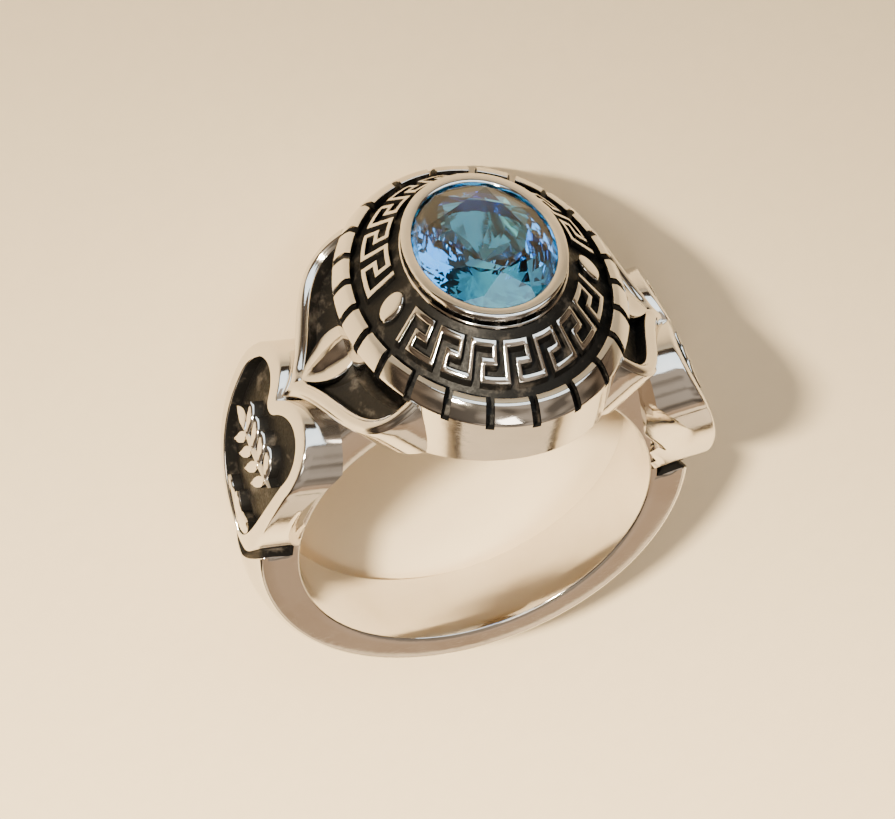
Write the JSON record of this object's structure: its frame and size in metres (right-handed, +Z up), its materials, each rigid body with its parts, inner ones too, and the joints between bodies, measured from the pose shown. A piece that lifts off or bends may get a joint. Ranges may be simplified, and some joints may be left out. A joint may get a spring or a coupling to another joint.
{
  "type": "class ring",
  "caption": "Class ring lying on its side: oval bezel-set stone in a notched crest with a key-pattern channel, leaf shoulders, heart side panels and a rounded band.",
  "frame": {"origin": "centre of the ring's outline on the surface it lies on", "axes": "+Z up, -Y towards the crest and stone, +Y towards the back of the band; the finger hole's axis leans from +Z towards +Y"},
  "size_m": [0.0234, 0.029, 0.0163],
  "materials": {
    "silver": "polished silver",
    "oxide": "matte black oxide in the sunk grounds",
    "stone": "faceted and polished, blue"
  },
  "bodies": {
    "root": {"ring_body": "silver", "bezel_cup": "silver", "stone": "stone"}
  },
  "joints": []
}
